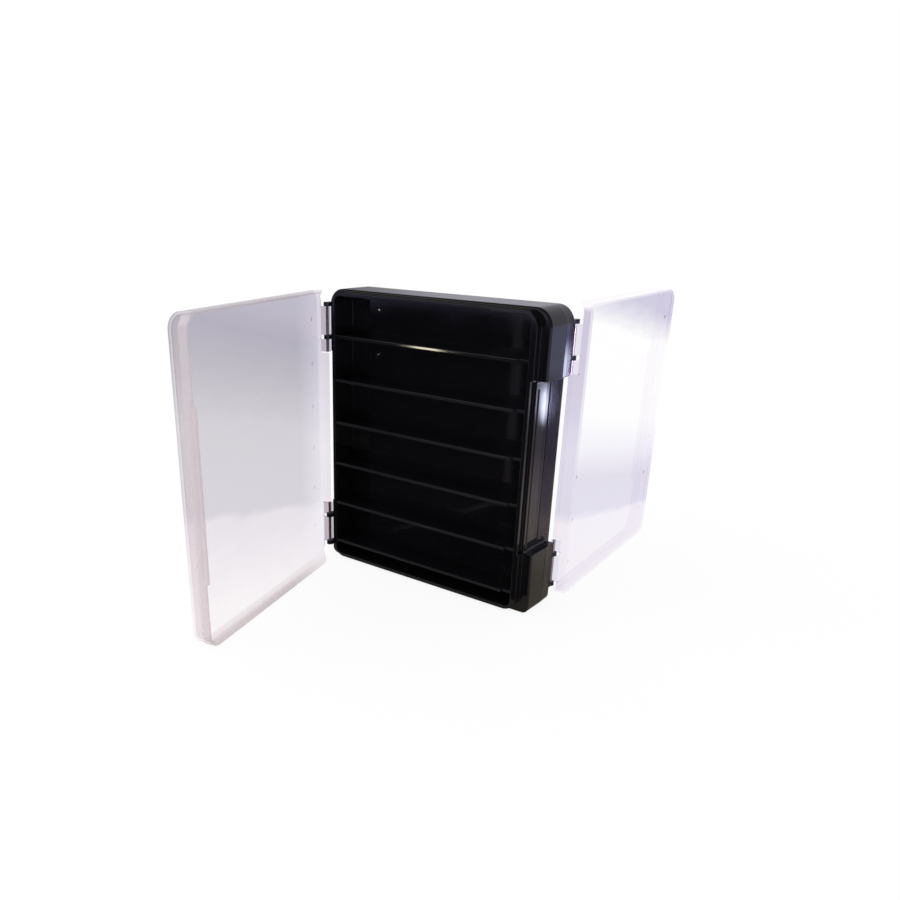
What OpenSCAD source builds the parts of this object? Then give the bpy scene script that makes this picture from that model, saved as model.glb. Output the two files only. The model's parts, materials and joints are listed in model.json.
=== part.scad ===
// Double-sided tackle box: a black case with a shelf stack on each side and two clear hinged lids.
// It stands on its short edge with both lids open. The case is the same after half a turn about Z,
// so everything on the rear side is the front one turned by 180 degrees.

/* [Case] */
// Height of the case, standing
case_h = 206; // [160:1:260]
// Width over the corner blocks
case_w = 179; // [140:1:230]
// Depth of the band that both lids close on
band_d = 31.6; // [24:0.2:50]
// Radius of the band's upper corners, seen from the front
corner_r = 12; // [4:0.5:20]
// Radius of the band's lower corners
foot_r = 5; // [2:0.5:12]
// Height of each corner block
block_h = 44.5; // [30:0.5:60]
// Depth of the side recess between the blocks
recess_d = 6.9; // [3:0.1:10]
// Distance of the moulding line from the middle of the band
seam_y = 3.7; // [0:0.1:10]

/* [Lips] */
// How far each lip stands out from the band
lip_reach = 5.8; // [3:0.1:12]
// Gap from the block face in to the lip's outer face
lip_inset_x = 6.9; // [4:0.1:12]
// How far the lip stands in beside the latch tongue
lip_jog = 1.8; // [0:0.1:2]
// Gap from the band's top and bottom faces to the lip
lip_inset_z = 2.1; // [1:0.1:5]
// Thickness of the side wall beside the latch
side_wall = 4.2; // [2.5:0.1:6]
// Thickness of the side wall beside the hinge
hinge_wall = 2.4; // [2.2:0.1:6]
// Thickness of the top and bottom walls at the lip
end_wall = 2.4; // [1.6:0.1:4]
// Thickness of the central web
web_t = 2; // [1.2:0.1:4]

/* [Shelves] */
// Height of the lowest shelf's middle
shelf_z0 = 14.7; // [8:0.1:30]
// Distance between shelves
shelf_pitch = 31.7; // [20:0.1:40]
// Shelf thickness
shelf_t = 1.9; // [1.2:0.1:3]
// Depth of the slot that holds each shelf end
slot_d = 1.2; // [0.6:0.1:1.8]
// How far the slotted ends of a shelf stand back from its front edge
shelf_step = 2.6; // [0:0.1:5]
// Length of the step at the latch end of a shelf
step_l = 8; // [2:0.5:20]

/* [Lids] */
// Depth of a lid, from its outer face to its rim
lid_d = 13.9; // [10:0.1:20]
// Depth of a lid's crown, from its outer face to the step above the rim
crown_d = 7.8; // [4:0.1:9]
// How far the crown stands in from the rim
crown_step = 0.5; // [0:0.1:1]
// Thickness of a lid's flat face
lid_t = 1.8; // [1:0.1:3]
// Thickness of a lid's rim
rim_t = 1.5; // [1:0.1:2.5]
// Rounding of a lid's outer edge
lid_edge_r = 2.2; // [0.5:0.1:4]
// Corner radius of a lid, seen from the front
lid_corner_r = 10; // [4:0.5:16]
// Vent hole diameter in the lids
lid_vent = 2.4; // [1:0.1:4]
// Length over which the end rims run out towards the hinge
rim_runout = 18; // [8:0.5:30]
// Opening angle of the front lid as photographed
front_open = 76; // [0:1:165]
// Opening angle of the rear lid as photographed
rear_open = 88; // [0:1:165]

/* [Hinges and latch] */
// Hinge axis, outwards from the middle of the case
hinge_x = 87.4; // [70:0.1:110]
// Hinge axis, forwards from the middle of the case
hinge_y = 21.1; // [15:0.1:30]
// Pin diameter
pin_d = 2; // [1.4:0.1:2.4]
// Clearance round the pin in a lid knuckle
run_gap = 0.06; // [0.02:0.01:0.1]
// Ear thickness
ear_t = 2.7; // [1.5:0.1:4]
// Middle of the outer ear, from the end of the case
ear_outer = 10.7; // [6:0.1:20]
// Middle of the inner ear, from the end of the case
ear_inner = 33.9; // [25:0.1:40]
// Length of the short knuckle beyond the inner ear
short_knuckle = 9; // [5:0.5:12]
// Radius of a lid knuckle
knuckle_r = 2.3; // [2:0.1:3]
// Length of the latch tongue
tongue_l = 110; // [60:1:120]
// How far the latch tongue reaches past the rim
tongue_reach = 2; // [1:0.1:3]
// How far the latch tongue sits below the middle
tongue_drop = 2.5; // [0:0.1:4]
// Distance of the catch rib from the middle of the band
catch_y = 12.2; // [10:0.1:12.4]

/* [Hidden] */
$fn = 48;
shelf_n = 6;
mid_z = case_h / 2;
half_w = case_w / 2;
half_d = band_d / 2;
lip_y = half_d + lip_reach;
lip_x = half_w - lip_inset_x;
inner_x = lip_x - side_wall;
hinge_inner_x = lip_x - hinge_wall;
inner_z0 = lip_inset_z + end_wall;
inner_z1 = case_h - inner_z0;
recess_x = half_w - recess_d;
recess_h = case_h - 2 * block_h;
recess_r = 1.5;
lid_free_x = lip_x + 0.5 + rim_t;
lid_hinge_x = hinge_x - 1.8;
lid_y = half_d + 0.3 + lid_d;
lid_z0 = lip_inset_z - 0.5 - rim_t + 0.1;
lid_z1 = case_h - lid_z0;
ear_r = knuckle_r + 0.3;
arm_l = 3.7;
swing_relief = 3;
tongue_z = mid_z - tongue_drop;
pin_end = ear_inner + ear_t / 2 + short_knuckle + 0.2;
black = [0.06, 0.06, 0.065];
clear = [0.84, 0.83, 0.9, 0.4];

// Turns a drawing in x and z into a plate between two depths
module plate(y0, y1) {
  translate([0, y1, 0])
    rotate([90, 0, 0])
      linear_extrude(y1 - y0)
        children();
}

// Rectangle with round corners, from two opposite corners
module rounded(x0, z0, x1, z1, r) {
  translate([x0 + r, z0])
    square([x1 - x0 - 2 * r, z1 - z0]);
  translate([x0, z0 + r])
    square([x1 - x0, z1 - z0 - 2 * r]);
  for (x = [x0 + r, x1 - r])
    for (z = [z0 + r, z1 - r])
      translate([x, z])
        circle(r);
}

// Repeats a front detail on the rear side
module both_sides() {
  children();
  rotate([0, 0, 180])
    children();
}

// Repeats a detail of the upper end at the lower end
module both_ends() {
  children();
  translate([0, 0, case_h])
    mirror([0, 0, 1])
      children();
}

// One outline of the band, drawn in by a margin: round shoulders and tighter corners at the foot
module band_outline(margin = 0) {
  x = half_w - margin;
  intersection() {
    rounded(-x, -corner_r, x, case_h - margin, corner_r - margin);
    rounded(-x, margin, x, case_h + foot_r, foot_r - margin);
  }
}

// The band with soft edges and side faces that lean away from the moulding line
module band() {
  soft = 1;
  hull() {
    plate(-half_d, half_d)
      band_outline(soft);
    plate(-half_d + soft, half_d - soft)
      band_outline();
    both_sides()
      translate([0.4, seam_y, 0])
        plate(-0.05, 0.05)
          band_outline();
  }
}

// The band with its side recesses and the moulding lines down its sides
module cut_band() {
  difference() {
    band();
    both_sides() {
      plate(-half_d - 1, half_d + 1)
        rounded(recess_x, block_h, half_w + 8, case_h - block_h, recess_r);
      translate([half_w + 0.2, seam_y, mid_z])
        cube([1.2, 0.6, case_h - 2 * corner_r], center = true);
      translate([recess_x, seam_y - 0.7, mid_z])
        cube([1, 1.4, recess_h - 6], center = true);
    }
  }
}

// Rib in the recess that the edge of the latch tongue closes against
module catch_rib() {
  translate([recess_x - 0.3, -catch_y, tongue_z])
    cylinder(r = 0.9, h = tongue_l, center = true);
}

// Lip that the lid slides over, set in beside the latch tongue
module lip() {
  root = 1;
  difference() {
    plate(-lip_y, -half_d + root)
      rounded(-lip_x, lip_inset_z, lip_x, case_h - lip_inset_z, corner_r - lip_inset_z);
    translate([lip_x, -lip_y, mid_z])
      cube([2 * lip_jog, 2 * (lip_reach + root), recess_h], center = true);
  }
}

// Ear that carries the hinge pin, rooted in the block's front face
module ear(z) {
  translate([0, 0, z - ear_t / 2])
    linear_extrude(ear_t) {
      translate([-hinge_x, -hinge_y])
        circle(ear_r);
      translate([-hinge_x - ear_r + 1, -hinge_y])
        square([2 * ear_r - 1, hinge_y - half_d + 2]);
    }
}

// Shelf slots of one side, cut in both side walls
module slots() {
  for (i = [0 : shelf_n - 1])
    for (s = [-1, 1])
      translate([
        s > 0 ? inner_x - 1 : -hinge_inner_x - slot_d,
        -lip_y + shelf_step,
        shelf_z0 + i * shelf_pitch - shelf_t / 2
      ])
        cube([slot_d + 1, lip_y - shelf_step - web_t / 2, shelf_t + 0.1]);
}

module case_body() {
  color(black)
    difference() {
      union() {
        cut_band();
        both_sides() {
          lip();
          catch_rib();
          both_ends() {
            ear(case_h - ear_outer);
            ear(case_h - ear_inner);
          }
        }
      }
      both_sides() {
        // the shelf space of one side
        plate(-lip_y - 1, -web_t / 2)
          rounded(-hinge_inner_x, inner_z0, inner_x, inner_z1, 5);
        slots();
        // bores of the hinge ears
        translate([-hinge_x, -hinge_y, -1])
          cylinder(d = pin_d + 0.04, h = case_h + 2);
      }
    }
}

// One shelf: a plate whose ends are stepped back to enter the slots
module shelf(i) {
  end_gap = 0.1;
  slot_end = slot_d - end_gap;
  color(black)
    translate([0, 0, shelf_z0 + (i - 1) * shelf_pitch - shelf_t / 2])
      linear_extrude(shelf_t) {
        translate([-hinge_inner_x - slot_end, -lip_y + shelf_step])
          square([hinge_inner_x + inner_x + 2 * slot_end, lip_y - shelf_step - web_t / 2]);
        translate([-hinge_inner_x + end_gap, -lip_y + 0.4])
          square([hinge_inner_x + inner_x - step_l - end_gap, shelf_step + 1]);
      }
}

// Hinge pin of the upper front hinge
module pin() {
  color(black)
    translate([-hinge_x, -hinge_y, case_h - pin_end])
      cylinder(d = pin_d, h = pin_end - ear_outer + ear_t / 2);
}

// Block with a rounded outer edge in the outline of a closed front lid: margin moves its sides inwards
module lid_form(margin, y0, y1, r) {
  steps = 4;
  hull()
    for (i = [0 : steps]) {
      in = r * (1 - sin(90 * i / steps));
      y = y0 + r * (1 - cos(90 * i / steps));
      plate(y, y1)
        rounded(
          -lid_hinge_x + margin + in, lid_z0 + margin + in,
          lid_free_x - margin - in, lid_z1 - margin - in,
          lid_corner_r - margin - in * 0.6
        );
    }
}

// Knuckle of the upper hinge, joined to the rim by a flat arm
module knuckle(z0, z1) {
  translate([-hinge_x, -hinge_y, z0])
    linear_extrude(z1 - z0) {
      circle(knuckle_r);
      translate([0.2, -knuckle_r - arm_l])
        square([knuckle_r, knuckle_r + arm_l]);
    }
}

// Shell of a closed front lid: a crown that steps out to the rim
module lid_shell() {
  difference() {
    union() {
      lid_form(crown_step, -lid_y, -half_d - 2, lid_edge_r);
      lid_form(0, -lid_y + crown_d, -half_d - 0.3, 0.3);
    }
    lid_form(rim_t + crown_step, -lid_y + lid_t, -half_d + 1, 0.8);
    lid_form(rim_t, -lid_y + crown_d + 0.3, -half_d + 1, 0.3);
  }
}

// Plan of the rim that is cut away at the hinge: the end rims run out to it in an arc
module hinge_relief() {
  rim_y = -half_d - 0.3;
  floor_y = -hinge_y - arm_l;
  start_x = -lid_hinge_x + 3;
  rise = rim_y - floor_y;
  arc_r = (rim_runout * rim_runout + rise * rise) / (2 * rise);
  difference() {
    translate([start_x - 5, floor_y])
      square([5 + rim_runout, rise + 1]);
    translate([start_x + rim_runout, rim_y - arc_r])
      circle(arc_r, $fn = 160);
  }
}

// A lid in its closed place on the front
module closed_lid() {
  ear_top = case_h - ear_outer - ear_t / 2 - 0.3;
  ear_low = case_h - ear_inner;
  difference() {
    union() {
      difference() {
        lid_shell();
        // the rim is cut back where the ears and blocks stand
        both_ends()
          translate([0, 0, case_h - block_h - 0.5])
            linear_extrude(block_h + 2)
              hinge_relief();
        // between the blocks the hinge-side rim swings past the lip
        translate([-lid_hinge_x - 1, -half_d - swing_relief, block_h])
          cube([6, swing_relief + 2, recess_h]);
      }
      // latch tongue with a finger edge
      translate([0, 0, tongue_z])
        rotate([90, 0, 90])
          translate([0, 0, lid_free_x - rim_t])
            linear_extrude(rim_t)
              rounded(
                -half_d - 6, -tongue_l / 2,
                -half_d - 0.3 + tongue_reach, tongue_l / 2, 1.5
              );
      translate([lid_free_x - 0.5, -half_d - 0.9, tongue_z - tongue_l / 2 + 4])
        cube([1.3, tongue_reach + 0.4, tongue_l - 8]);
      both_ends() {
        knuckle(ear_low + ear_t / 2 + 0.3, ear_top);
        knuckle(ear_low - ear_t / 2 - short_knuckle, ear_low - ear_t / 2 - 0.3);
      }
    }
    // knuckle bores
    translate([-hinge_x, -hinge_y, -1])
      cylinder(d = pin_d + 2 * run_gap, h = case_h + 2);
    // vents, one at each end of a compartment
    for (i = [0 : shelf_n - 1])
      for (x = [-78, 67.5])
        translate([x, -lid_y, shelf_z0 + (i + 0.38) * shelf_pitch])
          rotate([90, 0, 0])
            cylinder(d = lid_vent, h = 3 * lid_t, center = true);
  }
}

// A front lid turned open about its hinge axis
module lid(angle) {
  color(clear)
    translate([-hinge_x, -hinge_y, 0])
      rotate([0, 0, -angle])
        translate([hinge_x, hinge_y, 0])
          closed_lid();
}

// Turns a front piece to the rear side
module rear() {
  rotate([0, 0, 180])
    children();
}

// Brings an upper piece to the lower hinge
module lower() {
  translate([0, 0, case_h])
    mirror([0, 0, 1])
      children();
}

case_body();
for (i = [1 : shelf_n]) {
  shelf(i);
  rear() shelf(i);
}
pin();  // front_upper_pin
lower() pin();  // front_lower_pin
rear() pin();  // rear_upper_pin
rear() lower() pin();  // rear_lower_pin
lid(front_open);  // front_lid
rear() lid(rear_open);  // rear_lid
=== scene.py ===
"""Looks of a double-sided tackle box: a glossy black case with two clear lids, standing open."""

import json
import math

import bmesh
import bpy
from mathutils import Matrix, Vector

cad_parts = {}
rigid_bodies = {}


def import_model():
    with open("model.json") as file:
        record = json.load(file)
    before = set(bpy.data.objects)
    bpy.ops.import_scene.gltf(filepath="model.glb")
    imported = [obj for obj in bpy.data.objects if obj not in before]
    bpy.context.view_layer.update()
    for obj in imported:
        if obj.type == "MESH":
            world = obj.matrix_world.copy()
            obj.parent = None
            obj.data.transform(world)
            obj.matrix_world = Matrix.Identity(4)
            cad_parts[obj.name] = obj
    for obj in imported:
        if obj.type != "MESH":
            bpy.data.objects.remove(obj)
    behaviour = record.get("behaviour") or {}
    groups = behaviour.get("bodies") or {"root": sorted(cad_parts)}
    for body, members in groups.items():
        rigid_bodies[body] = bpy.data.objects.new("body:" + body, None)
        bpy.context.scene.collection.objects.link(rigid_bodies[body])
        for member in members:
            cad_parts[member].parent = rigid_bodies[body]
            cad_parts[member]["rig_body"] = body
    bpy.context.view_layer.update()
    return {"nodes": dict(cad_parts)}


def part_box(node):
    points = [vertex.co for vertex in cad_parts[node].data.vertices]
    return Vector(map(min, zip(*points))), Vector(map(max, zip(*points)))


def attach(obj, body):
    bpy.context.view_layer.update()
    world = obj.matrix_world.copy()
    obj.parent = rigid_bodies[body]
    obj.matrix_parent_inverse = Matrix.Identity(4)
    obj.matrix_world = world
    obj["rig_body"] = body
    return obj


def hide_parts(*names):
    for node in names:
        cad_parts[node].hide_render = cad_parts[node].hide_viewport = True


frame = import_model()
case_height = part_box("case_body")[1][2]
pin_top_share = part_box("front_lower_pin")[1][2] / case_height
shelf_count = sum(name.startswith("front_shelf_") for name in frame["nodes"])

# Sizes and places are in millimetres and angles in degrees, unless a heading says otherwise
MM = 0.001
UP = Vector((0, 0, 1))

# Photograph: square frame, seen from the front right and from above
PHOTO_PX = 900
FOCAL_PX = 818.53
CENTRE_PX = (397.96, 545.40)
CAMERA_PLACE = (320.4, -478.5, 259.6)
CAMERA_AZIMUTH = 36.61
CAMERA_ELEVATION = 22.35
CAMERA_ROLL = 1.18
CAMERA_NEAR = 20
SENSOR = 36.0

# Moulded pieces: corners nearer than MERGE are one, and edges that turn by less than SHARP are shaded smooth
MERGE = 0.02
SHARP = 40
EDGE_RADIUS = 0.7

# Black plastic: worn patches, flow marks, and how rough it is where new and where worn
BLACK = "#0C0C0F"
WEAR_SIZE = 22
FLOW_SIZE = 7
FLOW_HEIGHT = 0.2
FLOW_STRENGTH = 0.012
BLACK_ROUGHNESS = (0.05, 0.1)
BLACK_IOR = 1.52
BLACK_SPECULAR = 0.4

# Steel wire: marks left by drawing, coarser than they are so that they show, and roughness off and on them
STEEL = "#E0D4D0"
DRAWN_SIZE = 1.5
STEEL_ROUGHNESS = (0.25, 0.4)

# Clear plastic
MILK = "#F4F2F7"
CLEAR_IOR = 1.58

# Smears on it: size, length for their height, shift of the tints and their painted shade, and clarity and
# roughness off and on them
SMEAR_SIZE = 35
SMEAR_LENGTH = 4.0
SMEAR_SHIFT = 0.06
SMEAR_CLARITY = (0.995, 0.982)
SMEAR_ROUGHNESS = (0.03, 0.12)

# Specks in it: one in each cell of this size, where it takes this share of the light
SPECK_CELL = 12
SPECK_SHARE = 0.12

# Lids: depths from the hinge axis at which the rim turns into the crown, and the crown into the flat
RIM_DEPTH = (0.3, 1.5)
FLAT_DEPTH = (5.5, 7.3)

# Lids: distances from the hinge axis to the middle and to the outside of the knuckles
LID_MIDDLE = 90
KNUCKLE_REACH = (5.2, 4.6)

# Rim by the hinge: distances from the axis at which its clarity sets in, and that clarity
HINGE_RIM = (68, 25)
HINGE_RIM_CLARITY = 0.96

# Looks of the open lids, each with its own painted light and shade: tints with painted shade by share of the
# height, colours at foot and top, and distances from the hinge
# Both lids are one moulding: the colours and rim clarity in which they differ are painted light and shade
FRONT_LOOK = {
    "open": 76,
    "painted_shade_slope": 0.25,
    # The plastic's lavender tint with painted shade, and a painted reflection of the paper where it is pale
    # near the foot
    "tints_and_painted_shade": (
        (0.0, "#FDFBFC"), (0.3, "#F3F0F4"), (0.325, "#EAE8EC"), (0.6, "#E8E6EA"),
        (0.8, "#DAD8DE"), (0.9, "#D4D2DB"), (1.0, "#DAD8E1"),
    ),
    # Painted shade of the crown, at foot and top
    "crown_tints_and_painted_shade": ("#F6F2F3", "#FFFCFA"),
    # The rim's milk at foot and top, with painted warm light in it
    "rim_milk_and_painted_light": ("#DED4D5", "#DDD5DE"),
    "rim_clarity": 0.65,
    "hinge_side": (30, -6),
    # Painted light and shade in the band beside the hinge, by share of the height
    "hinge_painted_light_and_shade": (
        (0.28, "#F9F7FB"), (0.34, "#F4F2F7"), (0.55, "#F4F2F7"), (0.7, "#EEECF3"), (0.85, "#E6E4EC"),
    ),
    # Knuckles: painted shade, darker here than on the rear lid
    "knuckle_tint_and_painted_shade": "#DAD5DB",
}
# Rear lid: the same plastic with its own painted light and shade
REAR_LOOK = {
    "open": 88,
    "painted_shade_slope": -0.2,
    # The plastic's lavender tint with painted shade, and a painted reflection of the paper where it is pale
    # near the foot
    "tints_and_painted_shade": (
        (0.06, "#FBF9FC"), (0.2, "#FAF8FC"), (0.225, "#F1EFF7"), (0.35, "#F0EEF5"), (0.46, "#FAF9FD"),
        (0.57, "#FFFFFF"), (0.86, "#FFFFFF"), (0.98, "#E6E4EF"),
    ),
    # Painted shade of the crown, at foot and top
    "crown_tints_and_painted_shade": ("#FDFCFE", "#FFFEFF"),
    # The rim's milk at foot and top, with painted light in it
    "rim_milk_and_painted_light": ("#F8F5FA", "#F4F2FA"),
    "rim_clarity": 0.97,
    "hinge_side": (7, 5.5),
    # Painted light and shade in the band beside the hinge, by share of the height
    "hinge_painted_light_and_shade": (
        (0.19, "#F9F6FA"), (0.225, "#EFECF4"), (0.46, "#EFEDF5"), (0.62, "#E9E6F0"), (0.85, "#E6E2EC"),
    ),
    # Knuckles: painted shade, paler here than on the front lid
    "knuckle_tint_and_painted_shade": "#F3F1F6",
}

# Rest pips on the web, one in each compartment
WEB_FACE = 1.0
PIP_X = 55.5
PIP_RADIUS = 1.2
PIP_HEIGHT = 1.0
PIP_SHARE = 0.6

# Backdrop that only the gloss sees: its heading, where it fades, and the dark room's light and its own
BACKDROP = "#F3F2FF"
BACKDROP_HEADING = (0.5, 0.866, 0.0)
BACKDROP_EDGE = (0.25, 0.48)
BACKDROP_LIGHT = (0.15, 0.6)

# White that lights dull surfaces, as a share of the white that the camera sees
WORLD_FILL = 0.95

# Floor, in metres: half its width, the gap under the case, and where its shadow fades out
FLOOR_HALF = 4.0
FLOOR_GAP = 0.00005
FLOOR_SHADOW = (0.3, 0.9)

# Floor paper: its colour, its own light near the case, and the painted shade that the gloss sees of it, warm
# near the case and cool farther off, by distance in metres
PAPER = "#FCFCFC"
FLOOR_GLOW = 0.9
FLOOR_SHADE = (
    (0.13, "#9A9080"), (0.2, "#D0C4BB"), (0.29, "#D2C4C4"), (0.46, "#95889A"), (0.85, "#9898B0"),
    (1.0, "#D2D4FC"),
)

# Black card before the case: two opposite corners, and its height over the floor
CARD = "#262628"
CARD_CORNERS = ((-1200, -1500), (90, -40))
CARD_LEVEL = 1

# Lamps: place, target, size and watts, and where a fading one does so, in shares of its size from its middle
OVERHEAD = ((-495, -470, 740), (0, 0, 100), (600, 600), 1.9)
REAR_COOL = ((317, 466, 34), (89, 0, 160), (14, 70), 0.056)
REAR_UPPER = ((305, 560, 65), (89, 5, 175), (40, 90), 0.072)
LOW_WARM = ((-508, -747, 38), (0, -20, 173), (50, 60), 0.42)
SHELF_EDGE = ((-230, -310, 3), (-230, -310, 400), (660, 570), 0.25)
REAR_PIN = ((450, -150, 150), (88, 21, 100), (300, 300), 1.4)
PIP_LAMP = ((-20, -85, 201), (-55, -1, 175), (60, 40), 0.7)
COOL = "#DDE4FF"
WARM = "#FFF9D2"
LAMP_FADE = (0.1, 0.5)


def linear(hex_colour):
    """sRGB hex to the linear colour that a shader socket takes."""
    parts = [int(hex_colour[i : i + 2], 16) / 255 for i in (1, 3, 5)]
    return (*[c / 12.92 if c <= 0.04045 else ((c + 0.055) / 1.055) ** 2.4 for c in parts], 1.0)


def add(tree, kind, settings=None, **links):
    """Adds a node. settings holds its properties, and links its inputs: a value or another node's output.

    An input goes by its name, or as i0, i1 and so on where names repeat.
    """
    node = tree.nodes.new(kind)
    for name, value in (settings or {}).items():
        setattr(node, name, value)
    for name, value in links.items():
        numbered = name[0] == "i" and name[1:].isdigit()
        socket = node.inputs[int(name[1:]) if numbered else name.replace("_", " ")]
        if isinstance(value, bpy.types.NodeSocket):
            tree.links.new(value, socket)
        else:
            socket.default_value = value
    return node


def set_stops(ramp, colours):
    """Gives a colour ramp its stops: a place from 0 to 1 and a colour each."""
    stops = ramp.color_ramp.elements
    while len(stops) < len(colours):
        stops.new(0.5)
    for stop, (place, colour) in zip(stops, colours):
        stop.position = place
        stop.color = linear(colour)


def new_material(name):
    material = bpy.data.materials.new(name)
    material.use_nodes = True
    material.node_tree.nodes.clear()
    return material, material.node_tree


def moulded_black_abs():
    """ABS moulded in a polished tool: near black, wet-looking, duller where hands wear it, edges rounded."""
    material, tree = new_material("moulded_black_abs")
    place = add(tree, "ShaderNodeTexCoord").outputs["Object"]
    handling = add(
        tree, "ShaderNodeTexNoise", Vector=place, Scale=1 / (WEAR_SIZE * MM), Detail=3.0, Roughness=0.6
    )
    flow = add(
        tree, "ShaderNodeTexNoise", Vector=place, Scale=1 / (FLOW_SIZE * MM), Detail=2.0, Roughness=0.5
    )
    gloss = add(
        tree, "ShaderNodeMapRange", Value=handling.outputs["Fac"], From_Min=0.35, From_Max=0.7,
        To_Min=BLACK_ROUGHNESS[0], To_Max=BLACK_ROUGHNESS[1],
    )
    edges = add(tree, "ShaderNodeBevel", {"samples": 6}, Radius=EDGE_RADIUS * MM)
    bump = add(
        tree, "ShaderNodeBump", Height=flow.outputs["Fac"], Strength=FLOW_STRENGTH, Distance=FLOW_HEIGHT * MM,
        Normal=edges.outputs["Normal"],
    )
    shader = add(
        tree, "ShaderNodeBsdfPrincipled", Base_Color=linear(BLACK), Roughness=gloss.outputs["Result"],
        IOR=BLACK_IOR, Specular_IOR_Level=BLACK_SPECULAR, Normal=bump.outputs["Normal"],
    )
    add(tree, "ShaderNodeOutputMaterial", Surface=shader.outputs["BSDF"])
    return material


def hinge_pin_steel():
    """Drawn steel wire: pale grey, with a duller shine than the plastic."""
    material, tree = new_material("drawn_steel_wire")
    place = add(tree, "ShaderNodeTexCoord").outputs["Object"]
    drawn = add(tree, "ShaderNodeTexNoise", Vector=place, Scale=1 / (DRAWN_SIZE * MM), Detail=2.0)
    gloss = add(
        tree, "ShaderNodeMapRange", Value=drawn.outputs["Fac"],
        To_Min=STEEL_ROUGHNESS[0], To_Max=STEEL_ROUGHNESS[1],
    )
    shader = add(
        tree, "ShaderNodeBsdfPrincipled", Base_Color=linear(STEEL), Metallic=1.0,
        Roughness=gloss.outputs["Result"],
    )
    add(tree, "ShaderNodeOutputMaterial", Surface=shader.outputs["BSDF"])
    return material


def knuckle_mask(tree, place, hinge, height):
    """1 in the knuckles: close to the hinge axis, and as far from the foot and the top as the pins reach."""
    plan = add(tree, "ShaderNodeVectorMath", {"operation": "MULTIPLY"}, i0=place, i1=(1.0, 1.0, 0.0))
    off_axis = add(
        tree, "ShaderNodeVectorMath", {"operation": "DISTANCE"}, i0=plan.outputs["Vector"], i1=hinge
    )
    near_axis = add(
        tree, "ShaderNodeMapRange", Value=off_axis.outputs["Value"],
        From_Min=KNUCKLE_REACH[0] * MM, From_Max=KNUCKLE_REACH[1] * MM,
    )
    ends = add(tree, "ShaderNodeValToRGB", Fac=height)
    ends.color_ramp.interpolation = "CONSTANT"
    set_stops(ends, ((0.0, "#FFFFFF"), (pin_top_share, "#000000"), (1 - pin_top_share, "#FFFFFF")))
    return add(
        tree, "ShaderNodeMath", {"operation": "MULTIPLY"},
        i0=near_axis.outputs["Result"], i1=ends.outputs["Color"],
    ).outputs["Value"]


def lid_places(tree, place, pin, look):
    """Where a point lies on an open lid that turns on a pin: shares from 0 to 1, by name."""
    low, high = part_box(pin)
    hinge = Vector(((low.x + high.x) / 2, (low.y + high.y) / 2, 0))
    turn = math.radians(look["open"])
    side = 1 if hinge.x < 0 else -1
    outward = Vector((-math.sin(turn), -math.cos(turn), 0)) * side
    along = Vector((math.cos(turn), -math.sin(turn), 0)) * side

    def share(axis, start, end):
        """How far a point lies along an axis, from 0 at start to 1 at end, both in metres."""
        reach = add(tree, "ShaderNodeVectorMath", {"operation": "DOT_PRODUCT"}, i0=place, i1=axis)
        return add(
            tree, "ShaderNodeMapRange", Value=reach.outputs["Value"], From_Min=start, From_Max=end
        ).outputs["Result"]

    def share_from_hinge(axis, distances):
        """The same, between two distances from the hinge."""
        return share(axis, *(axis.dot(hinge) + d * MM for d in distances))

    foot = -look["painted_shade_slope"] * (along.dot(hinge) + LID_MIDDLE * MM)
    height = share(UP, 0, case_height)
    return {
        "height": height,
        "level": share(UP - look["painted_shade_slope"] * along, foot, foot + case_height),
        "crown": share_from_hinge(outward, RIM_DEPTH),
        "flat": share_from_hinge(outward, FLAT_DEPTH),
        "hinge_side": share_from_hinge(along, look["hinge_side"]),
        "hinge_rim": share_from_hinge(along, HINGE_RIM),
        "knuckle": knuckle_mask(tree, place, hinge, height),
    }


def lid_tint_and_painted_light(tree, where, smears, look):
    """The colour that a lid lets through: its lavender tint with painted shade and a painted reflection, by
    height in the flat and in the crown, with painted light and shade beside the hinge and in the knuckles.
    """
    drift = add(
        tree, "ShaderNodeMath", {"operation": "MULTIPLY_ADD"}, i0=smears, i1=SMEAR_SHIFT, i2=-SMEAR_SHIFT / 2
    )
    blurred = add(tree, "ShaderNodeMath", {"operation": "ADD"}, i0=where["level"], i1=drift.outputs["Value"])
    # Painted shade and reflection by height over the plastic's lavender tint, and painted light and shade
    # beside the hinge
    height_tint_and_shade, hinge_light_and_shade = (add(tree, "ShaderNodeValToRGB", Fac=blurred.outputs["Value"]) for _ in range(2))
    set_stops(height_tint_and_shade, look["tints_and_painted_shade"])
    set_stops(hinge_light_and_shade, look["hinge_painted_light_and_shade"])
    # The crown's colours: painted shade from foot to top
    crown_foot, crown_top = map(linear, look["crown_tints_and_painted_shade"])
    crown_tint_and_shade = add(
        tree, "ShaderNodeMix", {"data_type": "RGBA"}, i0=where["height"], i6=crown_foot, i7=crown_top
    )
    # Beside the hinge the painted light and shade takes over
    plate, edge = (
        add(
            tree, "ShaderNodeMix", {"data_type": "RGBA"}, i0=where["hinge_side"],
            i6=colour, i7=hinge_light_and_shade.outputs["Color"],
        )
        for colour in (height_tint_and_shade.outputs["Color"], crown_tint_and_shade.outputs[2])
    )
    wall = add(
        tree, "ShaderNodeMix", {"data_type": "RGBA"}, i0=where["flat"],
        i6=edge.outputs[2], i7=plate.outputs[2],
    )
    # In the knuckles, their painted shade
    return add(
        tree, "ShaderNodeMix", {"data_type": "RGBA"}, i0=where["knuckle"],
        i6=wall.outputs[2], i7=linear(look["knuckle_tint_and_painted_shade"]),
    ).outputs[2]


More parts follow.
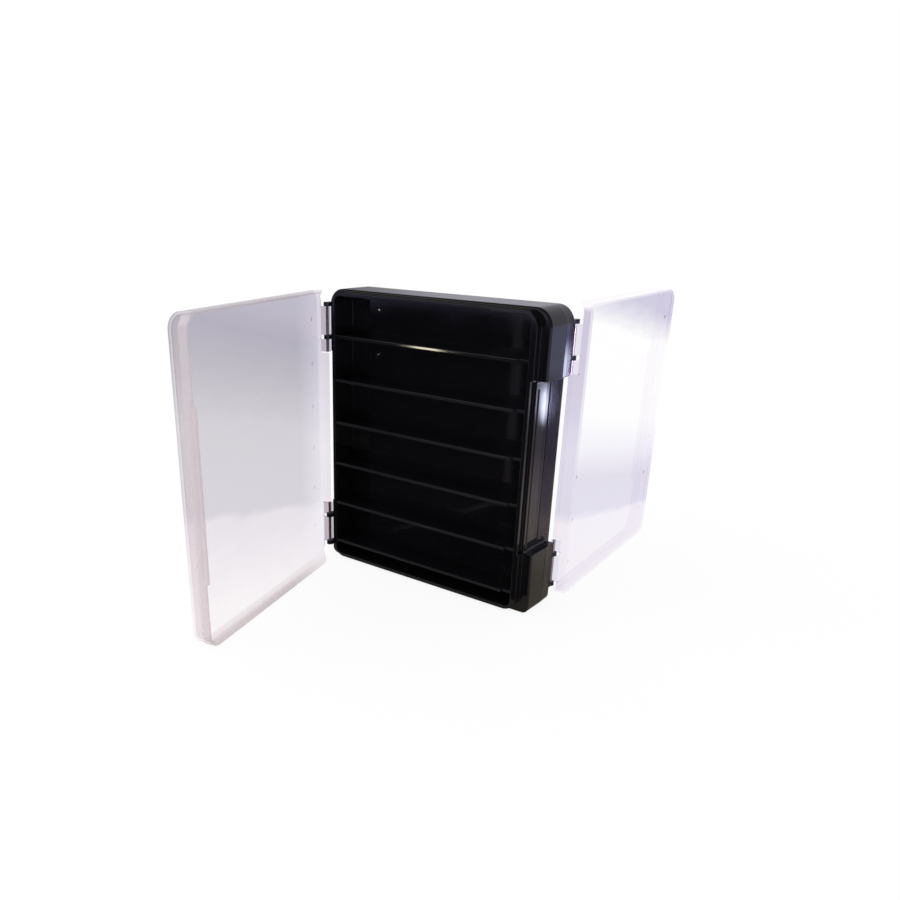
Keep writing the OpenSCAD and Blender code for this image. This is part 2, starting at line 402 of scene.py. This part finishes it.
def lid_clarity(tree, place, where, smears, look):
    """The share of light that goes straight through: less on smears and specks, and its own in the rim."""
    specks = add(tree, "ShaderNodeTexVoronoi", Vector=place, Scale=1 / (SPECK_CELL * MM))
    dust = add(
        tree, "ShaderNodeMapRange", Value=specks.outputs["Distance"],
        From_Min=0.03, From_Max=0.06, To_Min=SPECK_SHARE, To_Max=0.0,
    )
    haze = add(
        tree, "ShaderNodeMapRange", Value=smears, From_Min=0.3, From_Max=0.7,
        To_Min=SMEAR_CLARITY[0], To_Max=SMEAR_CLARITY[1],
    )
    crown = add(
        tree, "ShaderNodeMath", {"operation": "SUBTRACT"},
        i0=haze.outputs["Result"], i1=dust.outputs["Result"],
    )
    rim = add(
        tree, "ShaderNodeMapRange", Value=where["hinge_rim"],
        To_Min=look["rim_clarity"], To_Max=HINGE_RIM_CLARITY,
    )
    return add(
        tree, "ShaderNodeMix", {"data_type": "FLOAT"}, i0=where["crown"],
        i2=rim.outputs["Result"], i3=crown.outputs["Value"],
    ).outputs[0]


def clear_polystyrene(name, pin, look):
    """Crystal polystyrene: see-through with a lavender tint, painted shade and a painted reflection, smeared
    and specked, milkier in the rims, with painted light in the rims' milk.
    """
    material, tree = new_material(name)
    place = add(tree, "ShaderNodeTexCoord").outputs["Object"]
    where = lid_places(tree, place, pin, look)
    stretched = add(
        tree, "ShaderNodeVectorMath", {"operation": "MULTIPLY"}, i0=place, i1=(1.0, 1.0, SMEAR_LENGTH)
    )
    smears = add(
        tree, "ShaderNodeTexNoise", Vector=stretched.outputs["Vector"], Scale=1 / (SMEAR_SIZE * MM),
        Detail=6.0, Roughness=0.65,
    ).outputs["Fac"]
    # The rim's milk with painted light in it, from foot to top
    rim_foot, rim_top = map(linear, look["rim_milk_and_painted_light"])
    rim_milk_and_painted_light = add(tree, "ShaderNodeMix", {"data_type": "RGBA"}, i0=where["height"], i6=rim_foot, i7=rim_top)
    milk = add(
        tree, "ShaderNodeMix", {"data_type": "RGBA"}, i0=where["crown"],
        i6=rim_milk_and_painted_light.outputs[2], i7=linear(MILK),
    )
    gloss = add(
        tree, "ShaderNodeMapRange", Value=smears, From_Min=0.4, From_Max=0.75,
        To_Min=SMEAR_ROUGHNESS[0], To_Max=SMEAR_ROUGHNESS[1],
    )
    plastic = add(
        tree, "ShaderNodeBsdfPrincipled", Base_Color=milk.outputs[2], Roughness=gloss.outputs["Result"],
        IOR=CLEAR_IOR,
    )
    through = add(tree, "ShaderNodeBsdfTransparent", Color=lid_tint_and_painted_light(tree, where, smears, look))
    surface = add(
        tree, "ShaderNodeMixShader", i0=lid_clarity(tree, place, where, smears, look),
        i1=plastic.outputs["BSDF"], i2=through.outputs["BSDF"],
    )
    add(tree, "ShaderNodeOutputMaterial", Surface=surface.outputs["Shader"])
    return material


def make_real(piece, material=None):
    """Turns a piece's modifiers into plain mesh."""
    graph = bpy.context.evaluated_depsgraph_get()
    done = bpy.data.meshes.new_from_object(
        piece.evaluated_get(graph), preserve_all_data_layers=True, depsgraph=graph
    )
    piece.modifiers.clear()
    piece.data = done
    if material:
        done.materials.clear()
        done.materials.append(material)


def moulded_copy(node, material):
    """A copy of a CAD node with its triangles joined and its curves shaded smooth, which stands for it."""
    source = frame["nodes"][node]
    mesh = source.data.copy()
    form = bmesh.new()
    form.from_mesh(mesh)
    bmesh.ops.remove_doubles(form, verts=form.verts, dist=MERGE * MM)
    form.normal_update()
    for face in form.faces:
        face.smooth = True
    for edge in form.edges:
        edge.smooth = edge.calc_face_angle(0.0) < math.radians(SHARP)
    form.to_mesh(mesh)
    form.free()
    piece = bpy.data.objects.new(node + "_moulding", mesh)
    bpy.context.scene.collection.objects.link(piece)
    flats = piece.modifiers.new("flat_faces", "WEIGHTED_NORMAL")
    flats.keep_sharp = True
    make_real(piece, material)
    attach(piece, source["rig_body"])
    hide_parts(node)
    return piece


def web_pips(material):
    """Low domes on the web, one in each compartment of both sides, which keep flat tackle off it."""
    low, high = (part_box("front_shelf_%d" % i) for i in (1, 2))
    first = (low[0][2] + low[1][2]) / 2
    pitch = high[0][2] - low[0][2]
    tree = bpy.data.node_groups.new("web_pips", "GeometryNodeTree")
    sizes = {
        "Column": (-PIP_X * MM, -WEB_FACE * MM, first + PIP_SHARE * pitch),
        "Pitch": (0.0, 0.0, pitch),
        "Dome": (PIP_RADIUS * MM, PIP_HEIGHT * MM, PIP_RADIUS * MM),
    }
    for name in sizes:
        tree.interface.new_socket(name, in_out="INPUT", socket_type="NodeSocketVector")
    tree.interface.new_socket("Count", in_out="INPUT", socket_type="NodeSocketInt")
    tree.interface.new_socket("Plastic", in_out="INPUT", socket_type="NodeSocketMaterial")
    tree.interface.new_socket("Geometry", in_out="OUTPUT", socket_type="NodeSocketGeometry")
    given = add(tree, "NodeGroupInput").outputs
    column = add(
        tree, "GeometryNodeMeshLine", Count=given["Count"],
        Start_Location=given["Column"], Offset=given["Pitch"],
    )
    ball = add(tree, "GeometryNodeMeshUVSphere", Segments=24, Rings=12, Radius=1.0)
    dome = add(tree, "GeometryNodeSetShadeSmooth", i0=ball.outputs["Mesh"])
    pips = add(
        tree, "GeometryNodeInstanceOnPoints", Points=column.outputs["Mesh"],
        Instance=dome.outputs["Geometry"], Scale=given["Dome"],
    )
    turned = add(
        tree, "GeometryNodeTransform", Geometry=pips.outputs["Instances"], Rotation=(0.0, 0.0, math.pi)
    )
    both = add(tree, "GeometryNodeJoinGeometry")
    for side in (pips.outputs["Instances"], turned.outputs["Geometry"]):
        tree.links.new(side, both.inputs["Geometry"])
    real = add(tree, "GeometryNodeRealizeInstances", Geometry=both.outputs["Geometry"])
    dressed = add(
        tree, "GeometryNodeSetMaterial", Geometry=real.outputs["Geometry"], Material=given["Plastic"]
    )
    add(tree, "NodeGroupOutput", Geometry=dressed.outputs["Geometry"])

    piece = bpy.data.objects.new("web_pips", bpy.data.meshes.new("web_pips"))
    bpy.context.scene.collection.objects.link(piece)
    grow = piece.modifiers.new("web_pips", "NODES")
    grow.node_group = tree
    values = {**sizes, "Count": shelf_count, "Plastic": material}
    for socket in tree.interface.items_tree:
        if socket.in_out == "INPUT":
            grow[socket.identifier] = values[socket.name]
    make_real(piece)
    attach(piece, "case")
    return piece


def add_camera():
    az, el, roll = (math.radians(a) for a in (CAMERA_AZIMUTH, CAMERA_ELEVATION, CAMERA_ROLL))
    back = Vector((math.sin(az) * math.cos(el), -math.cos(az) * math.cos(el), math.sin(el)))
    level_right = (-back).cross(UP).normalized()
    level_up = level_right.cross(-back)
    right = math.cos(roll) * level_right + math.sin(roll) * level_up
    up = math.cos(roll) * level_up - math.sin(roll) * level_right
    data = bpy.data.cameras.new("camera")
    data.sensor_width = SENSOR
    data.lens = FOCAL_PX / PHOTO_PX * SENSOR
    data.shift_x = (PHOTO_PX / 2 - CENTRE_PX[0]) / PHOTO_PX
    data.shift_y = (CENTRE_PX[1] - PHOTO_PX / 2) / PHOTO_PX
    data.clip_start = CAMERA_NEAR * MM
    camera = bpy.data.objects.new("camera", data)
    facing = Matrix((right, up, back)).transposed().to_4x4()
    camera.matrix_world = Matrix.Translation(Vector(CAMERA_PLACE) * MM) @ facing
    bpy.context.scene.collection.objects.link(camera)
    bpy.context.scene.camera = camera


def fade_lamp(data):
    """Makes a lamp brightest in its middle, so that its reflection has no hard edge."""
    data.use_nodes = True
    tree = data.node_tree
    tree.nodes.clear()
    off_middle = add(
        tree, "ShaderNodeVectorMath", {"operation": "DISTANCE"},
        i0=add(tree, "ShaderNodeNewGeometry").outputs["Parametric"], i1=(0.5, 0.5, 0.0),
    )
    strength = add(
        tree, "ShaderNodeMapRange", {"interpolation_type": "SMOOTHSTEP"}, Value=off_middle.outputs["Value"],
        From_Min=LAMP_FADE[0], From_Max=LAMP_FADE[1], To_Min=1.0, To_Max=0.0,
    )
    glow = add(tree, "ShaderNodeEmission", Strength=strength.outputs["Result"])
    add(tree, "ShaderNodeOutputLight", Surface=glow.outputs["Emission"])


def add_softbox(name, place, target, size, watts, colour="#FFFFFF", lights_only=None, fades=False):
    """An area lamp that the camera does not see. lights_only holds the pieces that it lights, if not all."""
    data = bpy.data.lights.new(name, "AREA")
    data.shape = "RECTANGLE"
    data.size, data.size_y = (s * MM for s in size)
    data.energy = watts
    data.color = linear(colour)[:3]
    lamp = bpy.data.objects.new(name, data)
    lamp.location = Vector(place) * MM
    lamp.rotation_euler = (Vector(target) - Vector(place)).to_track_quat("-Z", "Y").to_euler()
    lamp.visible_camera = False
    bpy.context.scene.collection.objects.link(lamp)
    if fades:
        fade_lamp(data)
    if lights_only:
        lit = bpy.data.collections.new(name + "_lights")
        for piece in lights_only:
            lit.objects.link(piece)
        lamp.light_linking.receiver_collection = lit


def seen_directly(tree):
    """1 for rays that look at the background: straight, off gloss, or through clear plastic."""
    path = add(tree, "ShaderNodeLightPath")
    either = add(
        tree, "ShaderNodeMath", {"operation": "MAXIMUM"},
        i0=path.outputs["Is Camera Ray"], i1=path.outputs["Is Glossy Ray"],
    )
    return add(
        tree, "ShaderNodeMath", {"operation": "MAXIMUM"},
        i0=either.outputs["Value"], i1=path.outputs["Is Transmission Ray"],
    ).outputs["Value"]


def add_world():
    """White to the camera. The gloss sees a lavender grey backdrop behind and a dark room in front."""
    world = bpy.data.worlds.new("studio")
    bpy.context.scene.world = world
    world.use_nodes = True
    tree = world.node_tree
    tree.nodes.clear()
    lit = add(tree, "ShaderNodeMapRange", Value=seen_directly(tree), To_Min=WORLD_FILL, To_Max=1.0)
    white = add(tree, "ShaderNodeBackground", Color=(1.0, 1.0, 1.0, 1.0), Strength=lit.outputs["Result"])
    heading = add(
        tree, "ShaderNodeVectorMath", {"operation": "DOT_PRODUCT"},
        i0=add(tree, "ShaderNodeTexCoord").outputs["Generated"], i1=BACKDROP_HEADING,
    )
    dimming = add(
        tree, "ShaderNodeMapRange", {"interpolation_type": "SMOOTHSTEP"}, Value=heading.outputs["Value"],
        From_Min=BACKDROP_EDGE[0], From_Max=BACKDROP_EDGE[1],
        To_Min=BACKDROP_LIGHT[0], To_Max=BACKDROP_LIGHT[1],
    )
    room = add(tree, "ShaderNodeBackground", Color=linear(BACKDROP), Strength=dimming.outputs["Result"])
    both = add(
        tree, "ShaderNodeMixShader", i0=add(tree, "ShaderNodeLightPath").outputs["Is Glossy Ray"],
        i1=white.outputs["Background"], i2=room.outputs["Background"],
    )
    add(tree, "ShaderNodeOutputWorld", Surface=both.outputs["Shader"])


def flat_sheet(name, material, low, high, level):
    """A level rectangle between two corners, in metres."""
    (x0, y0), (x1, y1) = low, high
    mesh = bpy.data.meshes.new(name)
    corners = [(x, y, level) for x, y in ((x0, y0), (x1, y0), (x1, y1), (x0, y1))]
    mesh.from_pydata(corners, [], [(0, 1, 2, 3)])
    mesh.materials.append(material)
    sheet = bpy.data.objects.new(name, mesh)
    bpy.context.scene.collection.objects.link(sheet)
    return sheet


def add_black_card():
    """A black card on the floor before the case, seen only in the gloss. It keeps the compartments dark."""
    material, tree = new_material("black_card")
    paper = add(tree, "ShaderNodeBsdfDiffuse", Color=linear(CARD))
    add(tree, "ShaderNodeOutputMaterial", Surface=paper.outputs["BSDF"])
    low, high = ([c * MM for c in corner] for corner in CARD_CORNERS)
    card = flat_sheet("black_card", material, low, high, CARD_LEVEL * MM)
    for ray in ("camera", "diffuse", "transmission", "shadow", "volume_scatter"):
        setattr(card, "visible_" + ray, False)


def add_floor():
    """White paper. Near the case it keeps a faint shadow, and farther off it is as white as the backdrop. In
    the gloss it shows a painted shade instead, by distance from the case.
    """
    material, tree = new_material("floor_paper")
    place = add(tree, "ShaderNodeTexCoord").outputs["Object"]
    away = add(tree, "ShaderNodeVectorMath", {"operation": "LENGTH"}, i0=place).outputs["Value"]
    lit_by_itself = add(
        tree, "ShaderNodeMapRange", Value=away, From_Min=FLOOR_SHADOW[0], From_Max=FLOOR_SHADOW[1],
        To_Min=FLOOR_GLOW, To_Max=1.0,
    )
    share = add(
        tree, "ShaderNodeMath", {"operation": "MULTIPLY"},
        i0=seen_directly(tree), i1=lit_by_itself.outputs["Result"],
    )
    paper = add(tree, "ShaderNodeBsdfDiffuse", Color=linear(PAPER))
    white = add(tree, "ShaderNodeEmission", Color=(1.0, 1.0, 1.0, 1.0), Strength=1.0)
    # Painted shade of the floor, glowing, seen only in the gloss
    shade = add(tree, "ShaderNodeValToRGB", Fac=away)
    set_stops(shade, FLOOR_SHADE)
    grey = add(tree, "ShaderNodeEmission", Color=shade.outputs["Color"], Strength=1.0)
    glow = add(
        tree, "ShaderNodeMixShader", i0=add(tree, "ShaderNodeLightPath").outputs["Is Glossy Ray"],
        i1=white.outputs["Emission"], i2=grey.outputs["Emission"],
    )
    mix = add(
        tree, "ShaderNodeMixShader", i0=share.outputs["Value"],
        i1=paper.outputs["BSDF"], i2=glow.outputs["Shader"],
    )
    add(tree, "ShaderNodeOutputMaterial", Surface=mix.outputs["Shader"])
    floor = flat_sheet("floor", material, [-FLOOR_HALF] * 2, [FLOOR_HALF] * 2, -FLOOR_GAP)


bpy.context.scene.view_settings.view_transform = "Standard"
black = moulded_black_abs()
steel = hinge_pin_steel()
front_clear = clear_polystyrene("clear_polystyrene_front", "front_lower_pin", FRONT_LOOK)
rear_clear = clear_polystyrene("clear_polystyrene_rear", "rear_lower_pin", REAR_LOOK)
pieces = {}
for name in sorted(frame["nodes"]):
    if name.endswith("_lid"):
        pieces[name] = moulded_copy(name, front_clear if name == "front_lid" else rear_clear)
    elif name.endswith("_pin"):
        pieces[name] = moulded_copy(name, steel)
    else:
        pieces[name] = moulded_copy(name, black)
pieces["web_pips"] = web_pips(black)

add_camera()
add_world()
add_floor()
add_black_card()
front_shelves = [pieces["front_shelf_%d" % (i + 1)] for i in range(shelf_count)]
rear_pins = [pieces["rear_upper_pin"], pieces["rear_lower_pin"]]
add_softbox("overhead_softbox", *OVERHEAD)
add_softbox("rear_cool_lamp", *REAR_COOL, COOL, fades=True)
add_softbox("rear_upper_lamp", *REAR_UPPER, COOL, fades=True)
add_softbox("low_warm_lamp", *LOW_WARM, WARM, lights_only=front_shelves[-1:])
add_softbox("shelf_edge_lamp", *SHELF_EDGE, lights_only=front_shelves)
add_softbox("rear_pin_lamp", *REAR_PIN, lights_only=rear_pins)
add_softbox("pip_lamp", *PIP_LAMP, lights_only=[pieces["web_pips"]])
